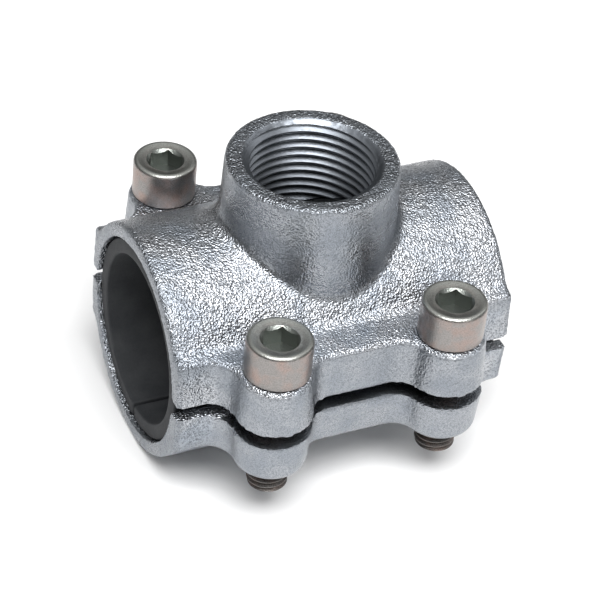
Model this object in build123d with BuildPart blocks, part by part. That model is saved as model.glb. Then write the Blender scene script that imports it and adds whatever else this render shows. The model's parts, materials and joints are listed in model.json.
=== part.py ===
from build123d import *

import os
from math import radians, sqrt, tan

# Mechanical tee for steel pipe: two cast half shells, a rubber lining between them and the pipe, and four
# socket head screws. The upper half carries the branch, which is threaded inside.
#
# Frame: X runs along the pipe, Z points up the branch, and the origin is on the pipe's axis under the
# branch. Millimetres.

# --- Pipe and rubber lining -------------------------------------------------------------------------------
pipe_diameter = 42.4  # steel pipe of nominal size 1 1/4
sleeve_wall = 3.9
sleeve_recess = 1.2  # how far the rubber stops short of each end of the shells
sleeve_slit = 0.8  # the cut that lets the sleeve open round a pipe
sleeve_port_radius = 15.5

# --- Half shells ------------------------------------------------------------------------------------------
body_length = 88.0
shell_wall = 4.0
shell_end_round = 1.0
parting_gap = 3.6  # between the two halves, with the screws run up and the rubber not yet squeezed

# --- Flanges and screw lugs -------------------------------------------------------------------------------
screw_pitch_x = 45.0  # between the screws along the pipe
screw_standoff = 7.1  # from the outside of the shell to the screw axis
lug_radius = 9.8
seat_height = 14.5  # from the pipe's axis up to the faces the screw heads sit on
lower_flange_depth = 13.0  # from the pipe's axis down to the underside of the lower lugs
draft = 4.0  # degrees, on the flange walls
shoulder_blend = 6.0  # in plan, from a lug to the end of the shell
waist_blend = 5.0  # in plan, from a lug to the straight flange between the lugs
ledge_blend = 4.0  # from the flange's face up to the shell
upper_edge_round = 1.2
lower_edge_round = 2.4

# --- Branch, Rp 1 -----------------------------------------------------------------------------------------
thread_major = 33.249
thread_minor = 30.291
branch_wall = 4.6  # outside the thread's major diameter, at the mouth
branch_rise = 15.6  # from the crown of the shell to the mouth
branch_draft = 2.0  # degrees
branch_root_blend = 3.5
branch_edge_round = 1.0
mouth_chamfer_wall = 0.35  # the mouth's chamfer opens this much past the thread's major radius

# --- Screws, M10 x 35, hexagon socket head ----------------------------------------------------------------
screw_diameter = 10.0
screw_length = 35.0
head_diameter = 16.0
head_height = 10.0
head_edge_round = 1.0
hex_across_flats = 8.0
socket_depth = 5.0
socket_chamfer = 0.5
tip_chamfer = 1.0

# --- Clearances -------------------------------------------------------------------------------------------
sleeve_clearance = 0.3  # between the rubber and the shells, on the radius
hole_clearance = 0.5  # between a screw and its hole in the upper half, on the radius
thread_clearance = 0.05  # between a screw and its tapped hole in the lower half, on the radius

# --- Worked out from the sizes above ----------------------------------------------------------------------
sleeve_bore_radius = pipe_diameter / 2
sleeve_outer_radius = sleeve_bore_radius + sleeve_wall
shell_bore_radius = sleeve_outer_radius + sleeve_clearance
shell_radius = shell_bore_radius + shell_wall
parting_height = parting_gap / 2
screw_x = screw_pitch_x / 2
screw_y = shell_radius + screw_standoff
branch_top = shell_radius + branch_rise
branch_top_radius = thread_major / 2 + branch_wall
branch_base_height = shell_bore_radius / 2
branch_base_radius = branch_top_radius + (branch_top - branch_base_height) * tan(radians(branch_draft))
flange_reach = screw_y + lug_radius
flange_overrun = shell_radius  # past each end of the shell, where the end faces cut the flange off square
screw_places = {
    "screw_front_left": (-screw_x, -screw_y),
    "screw_front_right": (screw_x, -screw_y),
    "screw_rear_left": (-screw_x, screw_y),
    "screw_rear_right": (screw_x, screw_y),
}


def near(value, target):
    return abs(abs(value) - target) < 0.01


def shell_profile(flange_height):
    """Section across the pipe, solid inside: the round of the shell and the two flange ledges beside it."""
    corner = sqrt(shell_radius**2 - flange_height**2)
    with BuildSketch(Plane.YZ) as profile:
        Circle(shell_radius)
        Rectangle(2 * flange_reach, flange_height, align=(Align.CENTER, Align.MIN))
        corners = profile.vertices().filter_by(lambda v: near(v.X, corner) and near(v.Y, flange_height))
        fillet(corners, radius=ledge_blend)
        with Locations((0, parting_height)):
            Rectangle(3 * flange_reach, 3 * flange_reach, align=(Align.CENTER, Align.MAX), mode=Mode.SUBTRACT)
    return profile.sketch


def flange_outline():
    """Plan of a flange at the parting face: flush with the shell at its ends, out to the screws between
    them, and round each screw."""
    shoulder = screw_x + lug_radius
    waist = screw_x - lug_radius
    with BuildSketch(Plane.XY.offset(parting_height)) as outline:
        Rectangle(body_length + 2 * flange_overrun, 2 * shell_radius)
        Rectangle(2 * shoulder, 2 * screw_y)
        with Locations(*screw_places.values()):
            Circle(lug_radius)
        fillet(
            outline.vertices().filter_by(lambda v: near(v.X, shoulder) and near(v.Y, shell_radius)),
            radius=shoulder_blend,
        )
        fillet(
            outline.vertices().filter_by(lambda v: near(v.X, waist) and near(v.Y, screw_y)),
            radius=waist_blend,
        )
    return outline.sketch


def ledge_start(flange_height):
    """How far from the pipe's axis the flat of a ledge begins, where the blend up to the shell ends."""
    return sqrt((shell_radius + ledge_blend) ** 2 - (flange_height + ledge_blend) ** 2)


def flange_blank(flange_height, edge_round):
    """One half of the body as a solid: the half round and its two drafted flanges, parting face down."""
    with BuildPart() as blank:
        extrude(shell_profile(flange_height), amount=body_length / 2, both=True)
        extrude(flange_outline(), amount=shell_radius, taper=draft, mode=Mode.INTERSECT)
        rim = blank.edges().filter_by(
            lambda e: near(e.center().Z, flange_height)
            and abs(e.center().Y) > ledge_start(flange_height) + 0.01
            and abs(e.center().X) < body_length / 2 - 0.01
        )
        fillet(rim, radius=edge_round)
        # The half round again, whose crown and ends have no draft
        with BuildSketch(Plane.YZ) as half_round:
            Circle(shell_radius)
            with Locations((0, parting_height)):
                Rectangle(
                    3 * shell_radius, 3 * shell_radius, align=(Align.CENTER, Align.MAX), mode=Mode.SUBTRACT
                )
        extrude(amount=body_length / 2, both=True)
    return blank.part


def is_end_edge(edge):
    """True for the outer round of the shell at either end."""
    return (
        edge.geom_type == GeomType.CIRCLE
        and near(edge.center().X, body_length / 2)
        and near(edge.radius, shell_radius)
    )


# Upper half: flanges, shell and branch, above the parting face
with BuildPart() as upper_body:
    add(flange_blank(seat_height, upper_edge_round))
    with BuildSketch(Plane.XZ) as branch_profile:
        with BuildLine():
            Polyline(
                (0, branch_base_height),
                (branch_base_radius, branch_base_height),
                (branch_top_radius, branch_top),
                (0, branch_top),
                close=True,
            )
        make_face()
    revolve(axis=Axis.Z)
    branch_root = upper_body.edges().filter_by(
        lambda e: e.geom_type not in (GeomType.LINE, GeomType.CIRCLE)
        and abs(e.center().Z - shell_radius) < branch_rise
        and max(abs(v.X) for v in e.vertices()) < branch_base_radius
    )
    fillet(branch_root, radius=branch_root_blend)
    fillet(upper_body.edges().filter_by(is_end_edge), radius=shell_end_round)
    with BuildSketch(Plane.YZ):
        Circle(shell_bore_radius)
    extrude(amount=body_length / 2, both=True, mode=Mode.SUBTRACT)
    # Branch bore at the thread's minor diameter, its mouth chamfered past the major diameter
    with BuildSketch(Plane.XY):
        Circle(thread_minor / 2)
    extrude(amount=branch_top, mode=Mode.SUBTRACT)
    mouth_edge = upper_body.edges().filter_by(GeomType.CIRCLE).filter_by(
        lambda e: near(e.center().Z, branch_top)
    )
    fillet(mouth_edge.sort_by(SortBy.RADIUS)[-1:], radius=branch_edge_round)
    mouth_chamfer = (thread_major - thread_minor) / 2 + mouth_chamfer_wall
    chamfer(mouth_edge.sort_by(SortBy.RADIUS)[:1], length=mouth_chamfer)
    with Locations(*screw_places.values()):
        Hole(screw_diameter / 2 + hole_clearance)
upper_body.part.label = "upper_body"

# Lower half: a plain shell with tapped lugs, modelled parting face down and turned over about the pipe
with BuildPart() as lower_body:
    add(flange_blank(lower_flange_depth, lower_edge_round))
    fillet(lower_body.edges().filter_by(is_end_edge), radius=shell_end_round)
    with BuildSketch(Plane.YZ):
        Circle(shell_bore_radius)
    extrude(amount=body_length / 2, both=True, mode=Mode.SUBTRACT)
    with Locations(*screw_places.values()):
        Hole(screw_diameter / 2 + thread_clearance)
lower_body.part = lower_body.part.rotate(Axis.X, 180)
lower_body.part.label = "lower_body"

# Rubber lining: a sleeve right round the pipe, slit along the bottom, with a port under the branch
with BuildPart() as rubber_sleeve:
    with BuildSketch(Plane.YZ):
        Circle(sleeve_outer_radius)
        Circle(sleeve_bore_radius, mode=Mode.SUBTRACT)
        Rectangle(sleeve_slit, sleeve_outer_radius, align=(Align.CENTER, Align.MAX), mode=Mode.SUBTRACT)
    extrude(amount=body_length / 2 - sleeve_recess, both=True)
    with BuildSketch(Plane.XY):
        Circle(sleeve_port_radius)
    extrude(amount=shell_radius, mode=Mode.SUBTRACT)
rubber_sleeve.part.label = "rubber_sleeve"


def socket_screw(name, place):
    """A socket head screw at a place in plan, its head on the seat and its tip below the lower half."""
    x, y = place
    with BuildPart() as screw:
        with BuildSketch(Plane.XY.offset(seat_height)):
            with Locations((x, y)):
                Circle(head_diameter / 2)
        extrude(amount=head_height)
        top_edge = screw.edges().filter_by(GeomType.CIRCLE).sort_by(Axis.Z)[-1:]
        fillet(top_edge, radius=head_edge_round)
        with BuildSketch(Plane.XY.offset(seat_height)):
            with Locations((x, y)):
                Circle(screw_diameter / 2)
        extrude(amount=-screw_length)
        tip_edge = screw.edges().filter_by(GeomType.CIRCLE).sort_by(Axis.Z)[:1]
        chamfer(tip_edge, length=tip_chamfer)
        with BuildSketch(Plane.XY.offset(seat_height + head_height)):
            with Locations((x, y)):
                RegularPolygon(hex_across_flats / 2, side_count=6, major_radius=False)
        extrude(amount=-socket_depth, mode=Mode.SUBTRACT)
        # A shallow countersink eases the key into the socket
        with BuildSketch(Plane.XY.offset(seat_height + head_height)):
            with Locations((x, y)):
                Circle(hex_across_flats / sqrt(3) + socket_chamfer)
        extrude(amount=-2 * socket_chamfer, taper=45, mode=Mode.SUBTRACT)
    screw.part.label = name
    return screw.part


screws = {name: socket_screw(name, place) for name, place in screw_places.items()}

os.makedirs("parts", exist_ok=True)
export_step(upper_body.part, "parts/upper_body.step")
export_step(lower_body.part, "parts/lower_body.step")
export_step(rubber_sleeve.part, "parts/rubber_sleeve.step")
for name, screw in screws.items():
    export_step(screw, f"parts/{name}.step")
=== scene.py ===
"""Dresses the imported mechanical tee: two galvanised castings, a moulded rubber sleeve and four plated socket
screws, with the branch thread and the screw threads cut in, on a pale studio floor."""

import json
from contextlib import contextmanager
from math import ceil, cos, floor, hypot, pi, radians, sin, sqrt, tan

import bmesh
import bpy
from mathutils import Matrix, Vector


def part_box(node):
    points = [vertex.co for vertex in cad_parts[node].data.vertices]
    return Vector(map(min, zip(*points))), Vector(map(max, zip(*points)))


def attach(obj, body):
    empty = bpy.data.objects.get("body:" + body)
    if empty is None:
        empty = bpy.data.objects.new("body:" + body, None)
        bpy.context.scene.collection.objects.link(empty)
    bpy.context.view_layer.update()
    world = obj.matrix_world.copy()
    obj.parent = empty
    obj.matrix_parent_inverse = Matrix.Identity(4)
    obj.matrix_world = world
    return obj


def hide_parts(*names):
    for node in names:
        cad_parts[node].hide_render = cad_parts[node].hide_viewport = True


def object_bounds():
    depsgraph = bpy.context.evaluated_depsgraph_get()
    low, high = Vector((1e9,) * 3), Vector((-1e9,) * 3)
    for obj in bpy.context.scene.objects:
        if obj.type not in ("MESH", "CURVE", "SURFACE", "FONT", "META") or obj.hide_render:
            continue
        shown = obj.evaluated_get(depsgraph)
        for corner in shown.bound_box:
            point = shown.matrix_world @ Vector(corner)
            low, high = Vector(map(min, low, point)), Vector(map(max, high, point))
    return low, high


bl_info = {
    "name": "Mechanical Tee Dressing",
    "version": (1, 0, 0),
    "blender": (4, 5, 0),
    "location": "View3D > Sidebar > Tee",
    "description": "Models the castings, the sleeve and the screws of a clamp-on pipe tee on its CAD frame",
    "category": "Object",
}

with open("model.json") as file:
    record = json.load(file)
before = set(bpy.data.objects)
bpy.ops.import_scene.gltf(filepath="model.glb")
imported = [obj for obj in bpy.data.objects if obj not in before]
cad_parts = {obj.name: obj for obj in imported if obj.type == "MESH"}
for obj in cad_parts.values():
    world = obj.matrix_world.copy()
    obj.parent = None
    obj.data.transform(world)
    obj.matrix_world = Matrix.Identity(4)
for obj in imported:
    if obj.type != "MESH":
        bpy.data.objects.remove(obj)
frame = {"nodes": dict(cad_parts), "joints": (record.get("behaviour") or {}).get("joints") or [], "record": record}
CAD_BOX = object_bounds()

MOUNTS = {mount["name"]: mount for mount in frame["record"]["mounts"]}
JOINTS = {joint["name"]: joint for joint in frame["joints"]}
SCREWS = ("screw_front_left", "screw_front_right", "screw_rear_left", "screw_rear_right")
MM = 0.001  # Blender works in metres


# --- Places and sizes, read from the frame where it has them ----------------------------------------------


BORE = MOUNTS["branch_thread"]["dims"]["r_mm"] * MM  # radius at the crests of the branch's thread
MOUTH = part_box("upper_body")[1].z  # height of the branch's top face
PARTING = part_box("upper_body")[0].z  # height of the upper half's parting face
SLEEVE_FIT = 0.3 * MM  # between the sleeve and the shells, on the radius
SHELL_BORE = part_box("rubber_sleeve")[1].y + SLEEVE_FIT
SHELL = -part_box("lower_body")[0].z  # outer radius of the shells
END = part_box("lower_body")[1].x  # from the branch's axis to the ends of the shells
HALF_RIM = 0.7 * MM  # half the width of the upper flange's rounded top edge
RIM = JOINTS[SCREWS[0] + "_turn"]["pos_m"][2] - HALF_RIM  # height of that edge's middle
BRANCH = 21.2 * MM  # outer radius of the branch's wall at its top
LUG_FOOT = -13.0 * MM  # height of the lower lugs' undersides

SAME = 0.001 * MM  # points closer together than this are one point
TOUCH = 0.01 * MM  # points closer to a plane than this lie on it
REACH = 1 * MM  # how far a cutting tool goes past the faces that it cuts


def screw_seat(name):
    """The point on a screw's axis in the plane that its head sits on."""
    return Vector(JOINTS[name + "_turn"]["pos_m"])


def screw_sizes():
    """Head radius, head height and length under the head, the same for all four screws."""
    low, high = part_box(SCREWS[0])
    seat = screw_seat(SCREWS[0])
    return (high.x - low.x) / 2, high.z - seat.z, seat.z - low.z


# --- Settings ---------------------------------------------------------------------------------------------


def size(name, description, default):
    """A length that a user may change, in metres."""
    return bpy.props.FloatProperty(
        name=name, description=description, default=default, precision=5, subtype="DISTANCE", unit="LENGTH"
    )


def share(name, description, default):
    """A number from 0 to 1."""
    return bpy.props.FloatProperty(
        name=name, description=description, default=default, min=0, max=1, subtype="FACTOR"
    )


def angle(name, description, default):
    """An angle, given here in degrees."""
    return bpy.props.FloatProperty(
        name=name, description=description, default=radians(default), subtype="ANGLE", unit="ROTATION"
    )


def power(name, description, default):
    """A lamp's power, in watts."""
    return bpy.props.FloatProperty(
        name=name, description=description, default=default, min=0, subtype="POWER", unit="POWER"
    )


def colour(name, description, default):
    """A linear colour."""
    return bpy.props.FloatVectorProperty(
        name=name, description=description, default=default, min=0, max=1, subtype="COLOR"
    )


class CastingSettings(bpy.types.PropertyGroup):
    """The two galvanised castings."""

    skin: size("Skin", "Mesh size of the cast skin", 0.6 * MM)
    softening: bpy.props.IntProperty(
        name="Softening", description="Passes that soften edges", default=4, min=0
    )
    swell: size("Swell", "Depth of the slow waves in the cast faces", 0.14 * MM)
    swell_size: size("Swell Size", "Distance between the slow waves", 3.0 * MM)
    pebble: size("Pebble", "Depth of the pebbling under the zinc", 0.22 * MM)
    pebble_size: size("Pebble Size", "Distance between pebbles", 0.9 * MM)
    grain: size("Grain", "Height of the zinc's grain on the barrel", 0.42 * MM)
    grain_size: size("Grain Size", "Size of the zinc's grain", 0.46 * MM)
    speck_size: size("Speck Size", "Size of the specks in the zinc", 0.2 * MM)
    wave_size: size("Wave Size", "Size of the zinc's runs and sags", 1.5 * MM)
    patch_size: size("Patch Size", "Size of the bluish patches", 9 * MM)
    calm: share("Calm", "Share of the barrel's roughness that the flanges and the branch have", 0.4)
    zinc: colour("Zinc", "Bright zinc", (0.48, 0.495, 0.52))
    # Painted shade in the pits, on the branch's top face, the ends, the calmer walls and the ends' rounded edges;
    # also the patches in the tapped bore
    dark_zinc_and_painted_shade: colour("Zinc Shade", "Duller zinc in the pits and at the ends", (0.20, 0.215, 0.235))
    bloom: colour("Bloom", "Bluish patches in the coating", (0.33, 0.365, 0.415))
    polish: share("Polish", "Roughness of the bright zinc", 0.27)
    dullness: share("Dullness", "Roughness of the dull patches", 0.40)
    cut_zinc: colour("Cut Zinc", "Zinc in the branch's tapped bore", (0.23, 0.25, 0.28))
    # Painted shade at the foot of the branch's thread, towards the run
    painted_bore_shade: colour("Soot", "Dark residue at the foot of the branch's thread", (0.03, 0.033, 0.038))


class ThreadSettings(bpy.types.PropertyGroup):
    """The branch thread and the screw threads."""

    branch_pitch: size("Branch Pitch", "Pitch of the branch's pipe thread", 2.309 * MM)
    branch_depth: size("Branch Depth", "Depth of the branch's pipe thread", 1.479 * MM)
    branch_flank: angle("Branch Flank", "Angle of each flank of the pipe thread", 27.5)
    branch_round: size("Branch Round", "Rounding of the pipe thread's crests and roots", 0.18 * MM)
    mouth_chamfer: size("Mouth Chamfer", "Width of the chamfer inside the branch's mouth", 1.829 * MM)
    screw_pitch: size("Screw Pitch", "Pitch of the screws' threads", 1.5 * MM)
    screw_depth: size("Screw Depth", "Depth of the screws' threads", 0.92 * MM)
    screw_crest: size("Screw Crest", "Width of the flat along a screw thread's crest", 0.19 * MM)
    screw_flank: angle("Screw Flank", "Angle of each flank of the screw thread", 30.0)
    tap_clearance: size("Tap Clearance", "Gap between a screw's thread and the tapped thread", 0.06 * MM)


class ScrewSettings(bpy.types.PropertyGroup):
    """The four socket head screws."""

    radius: size("Radius", "Radius over the thread", 5.0 * MM)
    head_round: size("Head Round", "Rounding of the head's top edge", 1.0 * MM)
    head_flat: size("Head Flat", "Width of the level ring outside the turned one", 0.3 * MM)
    foot_round: size("Foot Round", "Rounding of the head's lower edge", 0.5 * MM)
    turned_ring: size("Turned Ring", "Width of the slope turned inside the head's edge", 0.7 * MM)
    key: size("Key", "Width of the key across its flats", 8.0 * MM)
    socket_depth: size("Socket Depth", "Depth of the hexagon socket", 5.0 * MM)
    socket_chamfer: size("Socket Chamfer", "Width of the countersink round the socket", 0.5 * MM)
    tip_chamfer: size("Tip Chamfer", "Chamfer at the end of the thread", 1.0 * MM)
    plating: colour("Plating", "Plating, faintly warm", (0.295, 0.28, 0.27))
    blush: colour("Blush", "Pinkish stains on the sides", (0.38, 0.28, 0.245))
    # Painted reflection: the olive tint given to the heads' tops
    top_painted_reflection: colour("Olive", "Olive tint of the top", (0.40, 0.41, 0.385))
    # Dark specks, and painted shade on the threads below the halves
    tarnish_and_painted_shade: colour("Tarnish", "Dark specks, and the threads below the halves", (0.06, 0.055, 0.05))
    # Painted shade: the darker steel inside the sockets
    socket: colour("Socket", "Unpolished inside of the socket", (0.22, 0.235, 0.22))
    polish: share("Polish", "Roughness of the plating", 0.26)


class SleeveSettings(bpy.types.PropertyGroup):
    """The rubber sleeve."""

    lip: size("Lip", "Rounding of the sleeve's end edges", 0.5 * MM)
    rubber: colour("Rubber", "Moulded rubber", (0.014, 0.016, 0.019))
    bloom: colour("Bloom", "Grey bloom on the rubber", (0.026, 0.028, 0.031))


class StudioSettings(bpy.types.PropertyGroup):
    """Camera, floor and lights."""

    azimuth: angle("Azimuth", "Direction that the camera looks from, round the branch", -27.38)
    elevation: angle("Elevation", "Camera's height above the horizon", 38.80)
    roll: angle("Roll", "Turn of the camera about its own axis", 6.03)
    distance: size("Distance", "From the tee's origin to the camera", 605.2 * MM)
    aim_right: size("Aim Right", "Sideways offset of the view", 0.51 * MM)
    aim_up: size("Aim Up", "Upward offset of the view", 1.22 * MM)
    lens: bpy.props.FloatProperty(
        name="Lens", description="Focal length, in millimetres", default=145.75, unit="CAMERA"
    )
    sensor: bpy.props.FloatProperty(
        name="Sensor", description="Width of the sensor, in millimetres", default=36, unit="CAMERA"
    )
    floor_size: size("Floor Size", "Length of each side of the floor", 6)
    floor_colour: colour("Floor", "Pale floor", (0.90, 0.90, 0.90))
    key_power: power("Key", "Overhead softbox", 9.4)
    fill_power: power("Fill", "Front softbox", 0.9)
    rim_power: power("Rim", "Side strip light", 0.7)
    sky: share("Sky", "Brightness of the studio's ceiling", 0.9)
    walls: share("Walls", "Brightness of the studio's walls", 0.08)


class TeeSettings(bpy.types.PropertyGroup):
    """Everything that can be set."""

    casting: bpy.props.PointerProperty(type=CastingSettings)
    thread: bpy.props.PointerProperty(type=ThreadSettings)
    screw: bpy.props.PointerProperty(type=ScrewSettings)
    sleeve: bpy.props.PointerProperty(type=SleeveSettings)
    studio: bpy.props.PointerProperty(type=StudioSettings)


# --- Modelling helpers ------------------------------------------------------------------------------------


def only(piece):
    """Makes a piece the one selected and active object."""
    bpy.ops.object.select_all(action="DESELECT")
    piece.select_set(True)
    bpy.context.view_layer.objects.active = piece


@contextmanager
def editing(piece, element="VERT"):
    """Edit mode on a piece, with nothing selected."""
    only(piece)
    bpy.ops.object.mode_set(mode="EDIT")
    bpy.ops.mesh.select_mode(type=element)
    bpy.ops.mesh.select_all(action="DESELECT")
    yield bmesh.from_edit_mesh(piece.data)
    bpy.ops.object.mode_set(mode="OBJECT")


def select_where(piece, mesh, elements, test):
    """Selects those vertices, edges or faces in edit mode that a test holds for."""
    for element in elements:
        element.select_set(test(element))
    mesh.select_flush_mode()
    bmesh.update_edit_mesh(piece.data)


def modify(piece, kind, **settings):
    """Adds a modifier to a piece and applies it."""
    only(piece)
    modifier = piece.modifiers.new(kind.title(), kind)
    for name, value in settings.items():
        setattr(modifier, name, value)
    bpy.ops.object.modifier_apply(modifier=modifier.name)


def combine(piece, tool, operation):
    """Adds a tool's solid to a piece, takes it away or keeps what they share, and discards the tool."""
    modify(piece, "BOOLEAN", operation=operation, object=tool, solver="EXACT")
    bpy.data.objects.remove(tool)


def cylinder(radius, low, high, centre=(0, 0), sides=96):
    """A plain cylinder along Z, to start a piece with or to cut with."""
    bpy.ops.object.select_all(action="DESELECT")
    bpy.ops.mesh.primitive_cylinder_add(
        vertices=sides, radius=radius, depth=high - low, location=(*centre, (low + high) / 2)
    )
    bpy.ops.object.transform_apply()
    return bpy.context.object


def cone(low_radius, high_radius, low, high, sides=96):
    """A cone frustum about the Z axis."""
    bpy.ops.object.select_all(action="DESELECT")
    bpy.ops.mesh.primitive_cone_add(
        vertices=sides, radius1=low_radius, radius2=high_radius, depth=high - low,
        location=(0, 0, (low + high) / 2),
    )
    bpy.ops.object.transform_apply()
    return bpy.context.object


def cad_copy(node, name):
    """A copy of a CAD node with its doubled points merged, free of the frame."""
    source = frame["nodes"][node]
    piece = bpy.data.objects.new(name, source.data.copy())
    bpy.context.scene.collection.objects.link(piece)
    piece.data.materials.clear()
    with editing(piece):
        bpy.ops.mesh.select_all(action="SELECT")
        bpy.ops.mesh.remove_doubles(threshold=SAME)
        bpy.ops.mesh.normals_make_consistent(inside=False)
    return piece


def smooth(piece, limit):
    """Shades a piece smooth, apart from edges sharper than a limit in degrees."""
    only(piece)
    bpy.ops.object.shade_smooth_by_angle(angle=radians(limit))


def dress(piece, body, slot, material, *nodes):
    """Gives a finished piece its material and its body, and hides the CAD nodes that it stands for."""
    piece.data.materials.clear()
    piece.data.materials.append(material)
    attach(piece, body)
    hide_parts(*nodes)


def coat(piece, material, test):
    """Gives a second material to those faces of a piece whose middles pass a test."""
    piece.data.materials.append(material)
    with editing(piece, "FACE") as mesh:
        select_where(piece, mesh, mesh.faces, lambda face: test(face.calc_center_median()))
        piece.active_material_index = len(piece.data.materials) - 1
        bpy.ops.object.material_slot_assign()


def threaded_rod(core, crest, pitch, crest_flat, flank, low, high, sides, rounding=0.0):
    """A solid rod along Z with a right-hand thread. Its turns start at whole pitches from the origin, so
    that a rod and a tool made for its hole stay in step."""
    rise = (crest - core) * tan(flank)
    root_flat = pitch - crest_flat - 2 * rise
    start = (floor(low / pitch) - 2) * pitch
    turns = ceil((high - start) / pitch) + 2
    bpy.ops.object.select_all(action="DESELECT")
    bpy.ops.mesh.primitive_plane_add(size=pitch, location=(core, 0, start))
    bpy.ops.object.transform_apply()
    rod = bpy.context.object
    # One turn's outline, drawn from a single point
    outline = (
        (0, root_flat / 2),
        (crest - core, rise),
        (0, crest_flat),
        (core - crest, rise),
        (0, root_flat / 2),
    )
    with editing(rod) as mesh:
        bpy.ops.mesh.select_all(action="SELECT")
        bpy.ops.mesh.merge(type="CENTER")
        for outward, along in outline:
            bpy.ops.mesh.extrude_vertices_move(TRANSFORM_OT_translate={"value": (outward, 0, along)})
        if rounding:
            select_where(rod, mesh, mesh.verts, lambda point: len(point.link_edges) == 2)
            bpy.ops.mesh.bevel(offset=rounding, segments=3, affect="VERTICES", clamp_overlap=True)
    modify(
        rod, "SCREW", axis="Z", angle=2 * pi, screw_offset=pitch, iterations=turns, steps=sides,
        render_steps=sides,
    )
    with editing(rod):
        bpy.ops.mesh.select_all(action="SELECT")
        bpy.ops.mesh.remove_doubles(threshold=SAME)
        for height, outer in ((low, False), (high, True)):
            bpy.ops.mesh.select_all(action="SELECT")
            bpy.ops.mesh.bisect(
                plane_co=(0, 0, height), plane_no=(0, 0, 1), use_fill=True, clear_inner=not outer,
                clear_outer=outer, threshold=SAME / 10,
            )
        bpy.ops.mesh.select_all(action="SELECT")
        bpy.ops.mesh.normals_make_consistent(inside=False)
    return rod


# --- Materials --------------------------------------------------------------------------------------------


class Wire:
    """A node's output, so that shader maths reads as Python expressions."""

    def __init__(self, shading, socket):
        self.shading = shading
        self.socket = socket

    def __add__(self, other):
        return self.shading.maths("ADD", self, other)

    def __sub__(self, other):
        return self.shading.maths("SUBTRACT", self, other)

    def __mul__(self, other):
        return self.shading.maths("MULTIPLY", self, other)

    def __pow__(self, other):
        return self.shading.maths("POWER", self, other)

    def __rsub__(self, other):
        return self.shading.maths("SUBTRACT", other, self)

    __radd__ = __add__
    __rmul__ = __mul__


class Shading:
    """One material, or the world, built node by node."""

    def __init__(self, name, world=None):
        self.owner = world or bpy.data.materials.new(name)
        self.owner.use_nodes = True
        self.tree = self.owner.node_tree
        self.tree.nodes.clear()

    def node(self, kind, settings=None, sockets=None, output=0):
        """Adds a node, sets its settings and then its sockets, and returns one of its outputs."""
        node = self.tree.nodes.new("ShaderNode" + kind)
        for name, value in (settings or {}).items():
            if name == "stops":
                self.set_stops(node.color_ramp, value)
            else:
                setattr(node, name, value)
        for name, value in (sockets or {}).items():
            if isinstance(value, Wire):
                self.tree.links.new(value.socket, node.inputs[name])
            else:
                node.inputs[name].default_value = value
        return Wire(self, node.outputs[output]) if node.outputs else None

    def set_stops(self, ramp, stops):
        """Sets a ramp's stops from (place, grey level) pairs."""
        while len(ramp.elements) < len(stops):
            ramp.elements.new(1.0)
        for element, (place, level) in zip(ramp.elements, stops):
            element.position = place
            element.color = (level, level, level, 1)

    def maths(self, operation, first, second):
        """One sum of two numbers, as a node."""
        return self.node("Math", {"operation": operation}, {0: first, 1: second})

    def coordinates(self):
        """Object coordinates, in metres."""
        return self.node("TexCoord", output="Object")

    def along(self, axis, direction=None):
        """One axis of the object coordinates, or of another direction."""
        return self.node("SeparateXYZ", sockets={"Vector": direction or self.coordinates()}, output=axis)

    def fade(self, value, low, high):
        """0 below one value, 1 above another, and smooth between them."""
        settings = {"interpolation_type": "SMOOTHSTEP"}
        return self.node("MapRange", settings, {"Value": value, "From Min": low, "From Max": high})

    def noise(self, feature_size, detail=2.0):
        """Soft noise from 0 to 1 whose features are about a given size."""
        sockets = {"Vector": self.coordinates(), "Scale": 1 / feature_size, "Detail": detail}
        return self.node("TexNoise", {"noise_dimensions": "3D"}, sockets)

    def ramp(self, factor, *stops):
        """A number bent through (place, level) stops."""
        return self.node("ValToRGB", {"stops": stops}, {"Fac": factor})

    def blend(self, factor, first, second):
        """A colour between two colours."""
        return self.node("Mix", {"data_type": "RGBA"}, {0: factor, 6: first, 7: second}, output=2)

    def bump(self, height, distance):
        """A normal raised by a height from 0 to 1 over a distance in metres."""
        return self.node("Bump", sockets={"Height": height, "Distance": distance})

    def surface(self, **sockets):
        """The finish itself, from Principled BSDF sockets named with underscores for spaces."""
        named = {name.replace("_", " "): value for name, value in sockets.items()}
        finish = self.node("BsdfPrincipled", sockets=named)
        self.node("OutputMaterial", sockets={"Surface": finish})
        return self.owner


def opaque(rgb):
    """A colour property as four numbers."""
    return (*rgb, 1.0)


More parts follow.
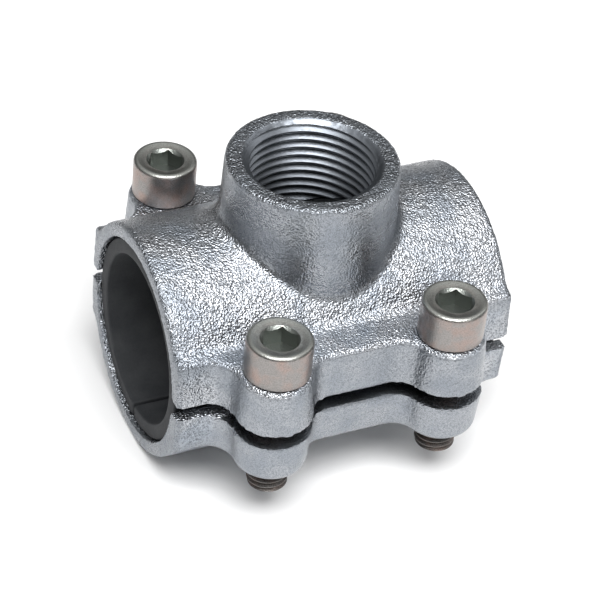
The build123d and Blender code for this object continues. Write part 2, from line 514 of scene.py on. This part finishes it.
def hot_dip_zinc(settings):
    """Hot-dip zinc over cast iron. The barrel, the branch's top face and the upper flanges' top edges are
    pebbled and sparkle. The flanges and the branch's wall are calmer. Painted shade darkens the pebbles' low
    points, the calmer walls, the branch's top face and the shells' ends, and draws a dark specked line along
    the ends' rounded edges.
    """
    shading = Shading("hot_dip_zinc")
    x, y, z = (shading.along(axis) for axis in "XYZ")
    # Each region is 0 on one side of its border and 1 on the other
    off_barrel = shading.fade((y * y + z * z) ** 0.5, SHELL + 0.6 * MM, SHELL + 2.2 * MM)
    above = shading.fade(z, -PARTING, PARTING)
    clear = shading.fade((x * x + y * y) ** 0.5, BRANCH + 0.5 * MM, BRANCH + 3.0 * MM)
    off_branch = 1 - above + above * clear
    on_top = shading.fade(z, MOUTH - 1.2 * MM, MOUTH - 0.4 * MM)
    on_end = shading.fade(x * x, (END - 0.8 * MM) ** 2, (END - 0.3 * MM) ** 2)
    on_round = shading.fade(x * x, (END - 1.9 * MM) ** 2, (END - 1.1 * MM) ** 2) * (1 - on_end)
    off_rim = shading.fade((z - RIM) ** 2, (0.4 * MM) ** 2, (0.8 * MM) ** 2)
    rough = (1 - off_barrel) * off_branch + on_top + off_barrel * off_branch * (1 - off_rim)
    coarse = settings.calm + (1 - settings.calm) * rough
    grain = shading.noise(settings.grain_size, detail=0.5)
    specks = shading.noise(settings.speck_size, detail=1.0)
    waves = shading.noise(settings.wave_size, detail=1.0)
    patches = shading.noise(settings.patch_size)
    # Painted shade: the grain's low points are darkened in colour on the coarse faces
    pit_painted_shade = shading.ramp(grain * 0.7 + specks * 0.3, (0.36, 0.85), (0.50, 0.0)) * coarse
    # Random specks, plus painted shade that darkens the calmer walls, the branch's top face and the shells' ends
    specks_and_painted_shade = shading.ramp(specks, (0.36, 1.5), (0.64, 0.6)) * (1 - coarse) + on_top * 0.7 + on_end * 0.6
    # Painted shade: a dark specked line along the ends' rounded edges
    painted_edge_shade = shading.ramp(specks, (0.46, 1.0), (0.60, 0.0)) * on_round
    bloom = shading.ramp(patches, (0.42, 0.0), (0.66, 0.8))
    zinc = shading.blend(bloom, opaque(settings.zinc), opaque(settings.bloom))
    return shading.surface(
        Base_Color=shading.blend(pit_painted_shade + specks_and_painted_shade + painted_edge_shade, zinc, opaque(settings.dark_zinc_and_painted_shade)),
        Metallic=1.0,
        Roughness=settings.polish + bloom * (settings.dullness - settings.polish),
        Normal=shading.bump((grain + waves * 0.6 + specks * 0.2) * coarse, settings.grain),
    )


def machined_zinc(settings):
    """The bluish, finely scored faces left by the tap, with painted shade darkening them towards the run."""
    shading = Shading("machined_zinc")
    scores = shading.noise(0.4 * MM)
    patches = shading.noise(5 * MM)
    # Painted shade: the thread darkens towards the run
    painted_bore_shade = 1 - shading.fade(shading.along("Z"), MOUTH - 22 * MM, MOUTH - 8 * MM)
    zinc = shading.blend(patches, opaque(settings.cut_zinc), opaque(settings.dark_zinc_and_painted_shade))
    return shading.surface(
        Base_Color=shading.blend(painted_bore_shade * 0.85, zinc, opaque(settings.painted_bore_shade)),
        Metallic=1.0,
        Roughness=0.30 + scores * 0.15,
        Normal=shading.bump(scores, 0.04 * MM),
    )


def zinc_plating(settings):
    """Faintly warm plating with pinkish stains on the sides, an olive tint on the top that is a painted
    reflection, and painted shade on the threads below the halves.
    """
    shading = Shading("zinc_plating")
    height = shading.along("Z")
    top = screw_seat(SCREWS[0]).z + screw_sizes()[1]
    on_top = shading.fade(height, top - 0.7 * MM, top - 0.2 * MM)
    below = 1 - shading.fade(height, -PARTING, PARTING)
    stains = shading.noise(4 * MM, detail=3.0)
    specks = shading.noise(0.25 * MM)
    blush = shading.ramp(stains, (0.42, 0.0), (0.66, 0.8))
    sides = shading.blend(blush, opaque(settings.plating), opaque(settings.blush))
    # Painted reflection: the heads' tops are tinted olive
    tinted = shading.blend(on_top, sides, opaque(settings.top_painted_reflection))
    # Random dark specks, and painted shade on the threads below the halves
    darker = shading.ramp(specks, (0.35, 0.35), (0.60, 0.0)) + below * 0.5
    return shading.surface(
        Base_Color=shading.blend(darker, tinted, opaque(settings.tarnish_and_painted_shade)),
        Metallic=1.0,
        Roughness=settings.polish + stains * 0.12,
        Normal=shading.bump(specks + stains * 0.5, 0.06 * MM),
    )


def unpolished_steel(settings):
    """The greenish steel inside the sockets, darker than the plating as painted shade in the recess."""
    shading = Shading("unpolished_steel")
    specks = shading.noise(0.4 * MM)
    return shading.surface(
        Base_Color=opaque(settings.socket), Metallic=1.0, Roughness=0.25 + specks * 0.2,
        Normal=shading.bump(specks, 0.08 * MM),
    )


def moulded_rubber(settings):
    """Matt black rubber with a fine grain and a faint grey bloom."""
    shading = Shading("moulded_rubber")
    grain = shading.noise(0.5 * MM)
    clouds = shading.noise(7 * MM, detail=3.0)
    bloom = shading.ramp(clouds, (0.40, 0.0), (0.70, 1.0))
    return shading.surface(
        Base_Color=shading.blend(bloom, opaque(settings.rubber), opaque(settings.bloom)),
        Metallic=0.0, Roughness=0.75 + (grain - 0.5) * 0.2,
        Normal=shading.bump(grain, 0.04 * MM),
    )


def studio_floor(settings):
    """Matt pale floor with the faintest unevenness."""
    shading = Shading("studio_floor")
    mottle = shading.noise(90 * MM)
    pale = settings.floor_colour
    shade = [0.985 * level for level in pale]
    return shading.surface(Base_Color=shading.blend(mottle, opaque(pale), opaque(shade)), Roughness=0.9)


# --- Castings ---------------------------------------------------------------------------------------------


def coating(settings):
    """The castings' one material, made by the first that asks for it."""
    return bpy.data.materials.get("hot_dip_zinc") or hot_dip_zinc(settings)


def fill_hole(casting, radius, low, high, centre=(0, 0)):
    """Closes a hole in a casting, so that it can be cut again cleanly once the skin is roughened."""
    combine(casting, cylinder(radius, low, high, centre), "UNION")


def clear_run_bore(casting):
    """Cuts the bore for the sleeve right through a casting."""
    length = 2 * (CAD_BOX[1].x - CAD_BOX[0].x)
    bpy.ops.object.select_all(action="DESELECT")
    bpy.ops.mesh.primitive_cylinder_add(
        vertices=192, radius=SHELL_BORE, depth=length, rotation=(0, pi / 2, 0)
    )
    bpy.ops.object.transform_apply()
    combine(casting, bpy.context.object, "DIFFERENCE")


def is_cast_skin(point):
    """True for a point on the outside of a casting, away from the run bore and the parting faces."""
    bore_margin, parting_margin = 0.5 * MM, 0.35 * MM
    return hypot(point.y, point.z) > SHELL_BORE + bore_margin and abs(point.z) > PARTING + parting_margin


def is_coarse_skin(point):
    """True for a point on the barrel or on the upper flanges' rounded top edges."""
    barrel_margin = 1 * MM
    return hypot(point.y, point.z) < SHELL + barrel_margin or abs(point.z - RIM) < HALF_RIM


def roughen(casting, settings):
    """Gives a casting an even skin, soft edges, and the swells and pebbles of zinc over sand-cast iron."""
    modify(casting, "REMESH", mode="VOXEL", voxel_size=settings.skin, use_smooth_shade=True)
    modify(casting, "SMOOTH", factor=0.5, iterations=settings.softening)
    skin = casting.vertex_groups.new(name="cast_skin")
    cast = [point for point in casting.data.vertices if is_cast_skin(point.co)]
    skin.add([point.index for point in cast], settings.calm, "REPLACE")
    skin.add([point.index for point in cast if is_coarse_skin(point.co)], 1.0, "REPLACE")
    for name, depth, spacing in (
        ("swell", settings.swell, settings.swell_size),
        ("pebble", settings.pebble, settings.pebble_size),
    ):
        pattern = bpy.data.textures.new(name, "CLOUDS")
        pattern.noise_scale = spacing
        pattern.noise_depth = 1
        modify(
            casting, "DISPLACE", texture=pattern, texture_coords="LOCAL", direction="NORMAL",
            strength=depth, mid_level=1.0, vertex_group=skin.name,
        )
    casting.vertex_groups.clear()


def cut_branch_thread(casting, settings):
    """Cuts the pipe thread down the branch into the run, and chamfers the mouth."""
    rise = settings.branch_depth * tan(settings.branch_flank)
    crest_flat = settings.branch_pitch / 2 - rise
    tool = threaded_rod(
        BORE, BORE + settings.branch_depth, settings.branch_pitch, crest_flat, settings.branch_flank,
        low=SHELL_BORE / 2, high=MOUTH + REACH, sides=96, rounding=settings.branch_round,
    )
    combine(casting, tool, "DIFFERENCE")
    chamfer = settings.mouth_chamfer
    tool = cone(BORE - REACH, BORE + chamfer + REACH, MOUTH - chamfer - REACH, MOUTH + REACH)
    combine(casting, tool, "DIFFERENCE")


def tap(casting, low, high, settings, radius):
    """Cuts the four tapped threads, each in step with its screw."""
    flank = settings.screw_flank
    gap = settings.tap_clearance
    crest = radius + gap
    core = radius - settings.screw_depth + gap
    crest_flat = settings.screw_crest - 2 * gap * tan(flank) + 2 * gap / cos(flank)
    for name in SCREWS:
        seat = screw_seat(name)
        tool = threaded_rod(
            core, crest, settings.screw_pitch, crest_flat, flank, low - seat.z, high - seat.z, sides=48
        )
        tool.data.transform(Matrix.Translation(seat))
        combine(casting, tool, "DIFFERENCE")


class TEE_OT_cast_upper_half(bpy.types.Operator):
    """Model the upper casting: a pebbled skin over its CAD form, with the branch thread cut in"""

    bl_idname = "tee.cast_upper_half"
    bl_label = "Cast Upper Half"

    def execute(self, context):
        settings = context.scene.tee
        casting = cad_copy("upper_body", "cast_upper_half")
        plug_overlap, plug_depth = 0.3 * MM, 1.5 * MM
        fill_hole(casting, BORE + plug_overlap, SHELL_BORE / 2, MOUTH - plug_depth)
        clear_run_bore(casting)
        roughen(casting, settings.casting)
        cut_branch_thread(casting, settings.thread)
        smooth(casting, limit=40)
        dress(casting, "upper_half", "galvanised_iron", coating(settings.casting), "upper_body")
        wide = BORE + settings.thread.mouth_chamfer
        low, high = SHELL_BORE / 2, MOUTH - 0.1 * MM
        coat(
            casting, machined_zinc(settings.casting),
            lambda place: hypot(place.x, place.y) < wide and low < place.z < high,
        )
        return {"FINISHED"}


class TEE_OT_cast_lower_half(bpy.types.Operator):
    """Model the lower casting: a pebbled skin over its CAD form, with its four lugs tapped"""

    bl_idname = "tee.cast_lower_half"
    bl_label = "Cast Lower Half"

    def execute(self, context):
        settings = context.scene.tee
        plug_overlap = 0.4 * MM
        casting = cad_copy("lower_body", "cast_lower_half")
        for name in SCREWS:
            hole = settings.screw.radius + plug_overlap
            fill_hole(casting, hole, LUG_FOOT, -PARTING, screw_seat(name).xy)
        roughen(casting, settings.casting)
        tap(casting, LUG_FOOT - REACH, -PARTING + REACH, settings.thread, settings.screw.radius)
        smooth(casting, limit=40)
        dress(casting, "lower_half", "galvanised_iron", coating(settings.casting), "lower_body")
        return {"FINISHED"}


# --- Sleeve -----------------------------------------------------------------------------------------------


class TEE_OT_mould_sleeve(bpy.types.Operator):
    """Model the rubber sleeve, with soft lips at its ends"""

    bl_idname = "tee.mould_sleeve"
    bl_label = "Mould Sleeve"

    def execute(self, context):
        settings = context.scene.tee.sleeve
        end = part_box("rubber_sleeve")[1].x
        sleeve = cad_copy("rubber_sleeve", "moulded_sleeve")
        with editing(sleeve, "EDGE") as mesh:
            bpy.ops.mesh.select_all(action="SELECT")
            bpy.ops.mesh.dissolve_limited(angle_limit=radians(0.5))
        with editing(sleeve, "EDGE") as mesh:
            select_where(
                sleeve, mesh, mesh.edges,
                lambda edge: all(abs(abs(point.co.x) - end) < TOUCH for point in edge.verts),
            )
            bpy.ops.mesh.bevel(offset=settings.lip, segments=4, affect="EDGES")
        smooth(sleeve, limit=30)
        dress(sleeve, "upper_half", "rubber", moulded_rubber(settings), "rubber_sleeve")
        return {"FINISHED"}


# --- Screws -----------------------------------------------------------------------------------------------


def hexagon_socket(head_height, settings):
    """The tool that sinks a hexagon socket and its countersink into a screw's head."""
    corner = settings.key / sqrt(3)
    tool = cylinder(corner, head_height - settings.socket_depth, head_height + REACH, sides=6)
    tool.data.transform(Matrix.Rotation(pi / 2, 4, "Z"))
    wide = corner + settings.socket_chamfer
    sink = cone(wide - 2 * REACH, wide + REACH, head_height - 2 * REACH, head_height + REACH)
    combine(tool, sink, "UNION")
    return tool


def socket_screw(thread, settings):
    """One socket head screw along Z, with its seat at the origin."""
    head_radius, head_height, length = screw_sizes()
    screw = cylinder(head_radius, 0, head_height)
    with editing(screw, "EDGE") as mesh:
        select_where(
            screw, mesh, mesh.edges,
            lambda edge: all(point.co.z > head_height - TOUCH for point in edge.verts),
        )
        bpy.ops.mesh.bevel(offset=settings.head_round, segments=6, affect="EDGES")
    with editing(screw, "FACE") as mesh:
        select_where(screw, mesh, mesh.faces, lambda face: face.normal.z > 0.999)
        bpy.ops.mesh.inset(thickness=settings.head_flat, depth=0)
        bpy.ops.mesh.inset(thickness=settings.turned_ring, depth=-settings.turned_ring / 2)
    with editing(screw, "EDGE") as mesh:
        select_where(
            screw, mesh, mesh.edges, lambda edge: all(point.co.z < TOUCH for point in edge.verts)
        )
        bpy.ops.mesh.bevel(offset=settings.foot_round, segments=3, affect="EDGES")
    shank = threaded_rod(
        settings.radius - thread.screw_depth, settings.radius, thread.screw_pitch, thread.screw_crest,
        thread.screw_flank, low=-length, high=REACH, sides=48,
    )
    chamfer = settings.tip_chamfer
    tip = cone(settings.radius - chamfer, settings.radius + length, -length, chamfer, sides=64)
    combine(shank, tip, "INTERSECT")
    combine(screw, shank, "UNION")
    combine(screw, hexagon_socket(head_height, settings), "DIFFERENCE")
    smooth(screw, limit=32)
    return screw


class TEE_OT_turn_screws(bpy.types.Operator):
    """Model one socket head screw and set a copy of it in each lug"""

    bl_idname = "tee.turn_screws"
    bl_label = "Turn Screws"

    def execute(self, context):
        settings = context.scene.tee
        pattern = socket_screw(settings.thread, settings.screw)
        plating = zinc_plating(settings.screw)
        # Painted shade: the sockets' insides get a darker steel than the plating
        inside = unpolished_steel(settings.screw)
        corner = settings.screw.key / sqrt(3)
        rim = screw_seat(SCREWS[0]).z + screw_sizes()[1] - settings.screw.socket_chamfer
        foot = rim - settings.screw.socket_depth
        for name in SCREWS:
            screw = bpy.data.objects.new("socket_" + name, pattern.data.copy())
            context.scene.collection.objects.link(screw)
            seat = screw_seat(name)
            screw.data.transform(Matrix.Translation(seat))
            dress(screw, name, "plated_steel", plating, name)
            coat(
                screw, inside,
                lambda place: foot < place.z < rim and (place - seat).xy.length < corner,
            )
        bpy.data.objects.remove(pattern)
        return {"FINISHED"}


# --- Stage ------------------------------------------------------------------------------------------------


# Each softbox's name, place, width and height, in metres, and the setting that holds its power
SOFTBOXES = (
    ("overhead_softbox", (-0.10, -0.35, 0.75), 0.65, 0.45, "key_power"),
    ("front_softbox", (0.30, -0.90, 0.40), 0.5, 0.3, "fill_power"),
    ("right_strip", (0.85, 0.10, 0.55), 0.25, 0.6, "rim_power"),
)


def add_softbox(name, location, width, height, watts):
    """A rectangular area light that faces the tee."""
    bpy.ops.object.light_add(type="AREA", location=location)
    light = bpy.context.object
    light.name = name
    light.data.shape = "RECTANGLE"
    light.data.size = width
    light.data.size_y = height
    light.data.energy = watts
    light.rotation_euler = Vector(location).to_track_quat("Z", "Y").to_euler()


def add_camera(settings):
    """The camera, aimed at the tee's origin and then shifted bodily to frame it."""
    azimuth, elevation, roll = settings.azimuth, settings.elevation, settings.roll
    back = Vector((sin(azimuth) * cos(elevation), -cos(azimuth) * cos(elevation), sin(elevation)))
    level_right = Vector((cos(azimuth), sin(azimuth), 0))
    level_up = back.cross(level_right)
    right = cos(roll) * level_right + sin(roll) * level_up
    up = back.cross(right)
    turned = Matrix((right, up, back)).transposed().to_4x4()
    place = back * settings.distance + right * settings.aim_right + up * settings.aim_up
    bpy.ops.object.camera_add()
    camera = bpy.context.object
    camera.matrix_world = Matrix.Translation(place) @ turned
    camera.data.lens = settings.lens
    camera.data.sensor_width = settings.sensor
    camera.data.clip_start = 10 * MM
    bpy.context.scene.camera = camera


def light_walls(world, settings):
    """Dim studio walls that brighten towards the ceiling."""
    shading = Shading("studio", world)
    height = shading.along("Z", shading.node("TexCoord", output="Generated"))
    rise = shading.ramp(height, (0.35, 0.0), (0.95, 1.0))
    strength = settings.walls + rise * (settings.sky - settings.walls)
    glow = shading.node("Background", sockets={"Color": (1, 1, 1, 1), "Strength": strength})
    shading.node("OutputWorld", sockets={"Surface": glow})


class TEE_OT_light_studio(bpy.types.Operator):
    """Lay the pale floor and set the softboxes and the camera"""

    bl_idname = "tee.light_studio"
    bl_label = "Light Studio"

    def execute(self, context):
        settings = context.scene.tee.studio
        bpy.ops.object.select_all(action="DESELECT")
        bpy.ops.mesh.primitive_plane_add(size=settings.floor_size, location=(0, 0, CAD_BOX[0].z))
        ground = context.object
        ground.name = "studio_floor"
        ground.data.materials.append(studio_floor(settings))
        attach(ground, "lower_half")  # the tee goes on standing on the floor as the clamp opens
        for *placing, power_setting in SOFTBOXES:
            add_softbox(*placing, getattr(settings, power_setting))
        context.scene.world = bpy.data.worlds.new("studio")
        light_walls(context.scene.world, settings)
        add_camera(settings)
        context.scene.view_settings.view_transform = "Standard"
        return {"FINISHED"}


# --- Panel ------------------------------------------------------------------------------------------------


class TEE_PT_dressing(bpy.types.Panel):
    """Sidebar list of the steps, in order, with their settings"""

    bl_idname = "TEE_PT_dressing"
    bl_label = "Mechanical Tee"
    bl_space_type = "VIEW_3D"
    bl_region_type = "UI"
    bl_category = "Tee"

    def draw(self, context):
        for operator in OPERATORS:
            self.layout.operator(operator.bl_idname)
        for group in ("casting", "thread", "screw", "sleeve", "studio"):
            box = self.layout.box()
            box.label(text=group.title())
            settings = getattr(context.scene.tee, group)
            for name in settings.__annotations__:
                box.prop(settings, name)


OPERATORS = (
    TEE_OT_cast_upper_half,
    TEE_OT_cast_lower_half,
    TEE_OT_mould_sleeve,
    TEE_OT_turn_screws,
    TEE_OT_light_studio,
)
CLASSES = (
    CastingSettings,
    ThreadSettings,
    ScrewSettings,
    SleeveSettings,
    StudioSettings,
    TeeSettings,
    *OPERATORS,
    TEE_PT_dressing,
)


def register():
    for cls in CLASSES:
        bpy.utils.register_class(cls)
    bpy.types.Scene.tee = bpy.props.PointerProperty(type=TeeSettings)


def unregister():
    del bpy.types.Scene.tee
    for cls in reversed(CLASSES):
        bpy.utils.unregister_class(cls)


def main():
    """Models every piece in order."""
    register()
    bpy.ops.tee.cast_upper_half()
    bpy.ops.tee.cast_lower_half()
    bpy.ops.tee.mould_sleeve()
    bpy.ops.tee.turn_screws()
    bpy.ops.tee.light_studio()


if __name__ == "__main__":
    main()
